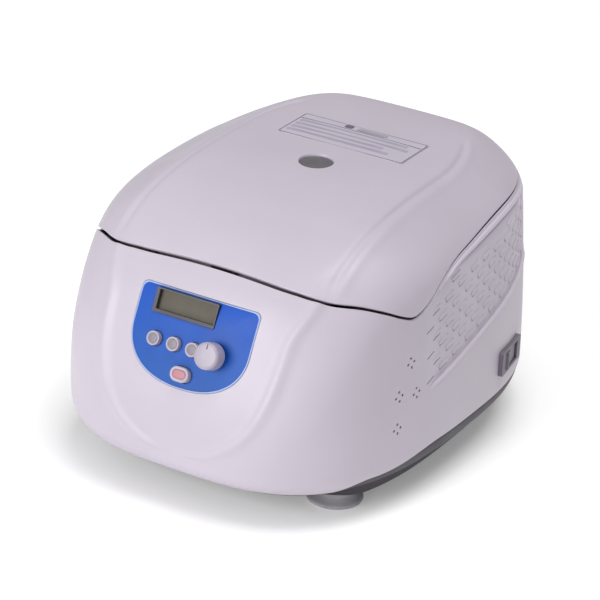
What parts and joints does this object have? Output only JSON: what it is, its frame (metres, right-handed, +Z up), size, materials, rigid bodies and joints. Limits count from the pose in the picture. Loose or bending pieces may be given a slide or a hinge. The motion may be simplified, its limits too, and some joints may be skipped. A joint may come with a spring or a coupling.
{
  "type": "laboratory centrifuge",
  "caption": "Bench-top laboratory centrifuge with a hinged lid and sight glass, an angle rotor in a steel bowl, and a sloping control panel with a display, buttons and a knob.",
  "frame": {"origin": "centre of the footprint, on the bench surface under the rubber feet", "axes": "+Z up, +Y towards the rear wall with the mains inlet, +X towards the side with the mains switch; the control panel faces -Y"},
  "size_m": [0.3025, 0.3805, 0.216],
  "materials": {
    "housing": "fine moulded texture, satin",
    "tray": "dark moulded plastic",
    "feet": "matt rubber",
    "panel": "smooth blue film",
    "window": "clear display window",
    "sight_glass": "tinted clear plastic",
    "buttons": "satin light grey",
    "stop_button": "satin pale pink",
    "boards": "green circuit board",
    "steel": "brushed",
    "alloy": "bead-blasted anodised",
    "dark_plastic": "black moulded plastic",
    "liner": "light grey moulded plastic",
    "seal": "soft black seal",
    "label": "printed film",
    "motor": "black painted steel"
  },
  "bodies": {
    "machine": {"base_tray": "tray", "body_shell": "housing", "control_panel": "panel", "lcd_window": "window", "lcd_module": "dark_plastic", "display_board": "boards", "encoder": "dark_plastic", "guard_ring": "steel", "chamber_bowl": "steel", "bowl_seal": "seal", "motor_plate": "steel", "motor": "motor", "latch_housing": "dark_plastic", "latch_solenoid": "steel", "lid_switch": "dark_plastic", "mains_switch_frame": "dark_plastic", "mains_inlet": "dark_plastic", "drive_board": "boards", "heat_sink": "alloy", "foot_front_left": "feet", "foot_front_right": "feet", "foot_rear_left": "feet", "foot_rear_right": "feet", "hinge_bracket_left": "steel", "hinge_pin_left": "steel", "lid_spring_left": "steel", "hinge_bracket_right": "steel", "hinge_pin_right": "steel", "lid_spring_right": "steel", "motor_damper_1": "seal", "motor_damper_2": "seal", "motor_damper_3": "seal", "board_post_1": "steel", "board_post_2": "steel", "board_post_3": "steel", "board_post_4": "steel"},
    "lid": {"lid_shell": "housing", "lid_liner": "liner", "sight_sleeve": "liner", "lid_gasket": "seal", "sight_glass": "sight_glass", "sight_glass_ring": "liner", "lid_label": "label", "hinge_arm_left": "steel", "hinge_arm_right": "steel", "lid_striker": "steel"},
    "spindle": {"motor_shaft": "steel", "rotor": "alloy", "rotor_nut": "steel"},
    "time_key": {"button_time": "buttons"},
    "speed_key": {"button_speed": "buttons"},
    "start_key": {"button_start": "buttons"},
    "stop_key": {"button_stop": "stop_button"},
    "knob": {"control_knob": "buttons"},
    "rocker": {"mains_rocker": "dark_plastic"},
    "bolt": {"latch_bolt": "steel"},
    "fuses": {"fuse_drawer": "dark_plastic"}
  },
  "joints": [
    {"name": "lid_hinge", "type": "hinge", "parent": "machine", "child": "lid", "pos_m": [0, 0.1615, 0.19], "axis": [-1, 0, 0], "range_deg": [0, 75]},
    {"name": "rotor_spin", "type": "hinge", "parent": "machine", "child": "spindle", "pos_m": [0, 0.007, 0.1], "axis": [0, 0, 1], "continuous": true},
    {"name": "knob_turn", "type": "hinge", "parent": "machine", "child": "knob", "pos_m": [0.0235, -0.17587, 0.12803], "axis": [0, -0.9135, 0.4067], "continuous": true},
    {"name": "time_press", "type": "slide", "parent": "machine", "child": "time_key", "axis": [0, 0.9135, -0.4067], "range_m": [0, 0.001], "stiffness_N_per_m": 500, "springref_m": -0.001},
    {"name": "speed_press", "type": "slide", "parent": "machine", "child": "speed_key", "axis": [0, 0.9135, -0.4067], "range_m": [0, 0.001], "stiffness_N_per_m": 500, "springref_m": -0.001},
    {"name": "start_press", "type": "slide", "parent": "machine", "child": "start_key", "axis": [0, 0.9135, -0.4067], "range_m": [0, 0.001], "stiffness_N_per_m": 500, "springref_m": -0.001},
    {"name": "stop_press", "type": "slide", "parent": "machine", "child": "stop_key", "axis": [0, 0.9135, -0.4067], "range_m": [0, 0.001], "stiffness_N_per_m": 500, "springref_m": -0.001},
    {"name": "rocker_tilt", "type": "hinge", "parent": "machine", "child": "rocker", "pos_m": [0.14779, 0.06759, 0.0675], "axis": [0, 0, -1], "range_deg": [0, 16]},
    {"name": "bolt_slide", "type": "slide", "parent": "machine", "child": "bolt", "axis": [0, 1, 0], "range_m": [0, 0.0055]},
    {"name": "fuse_slide", "type": "slide", "parent": "machine", "child": "fuses", "axis": [0, 1, 0], "range_m": [0, 0.012]}
  ]
}
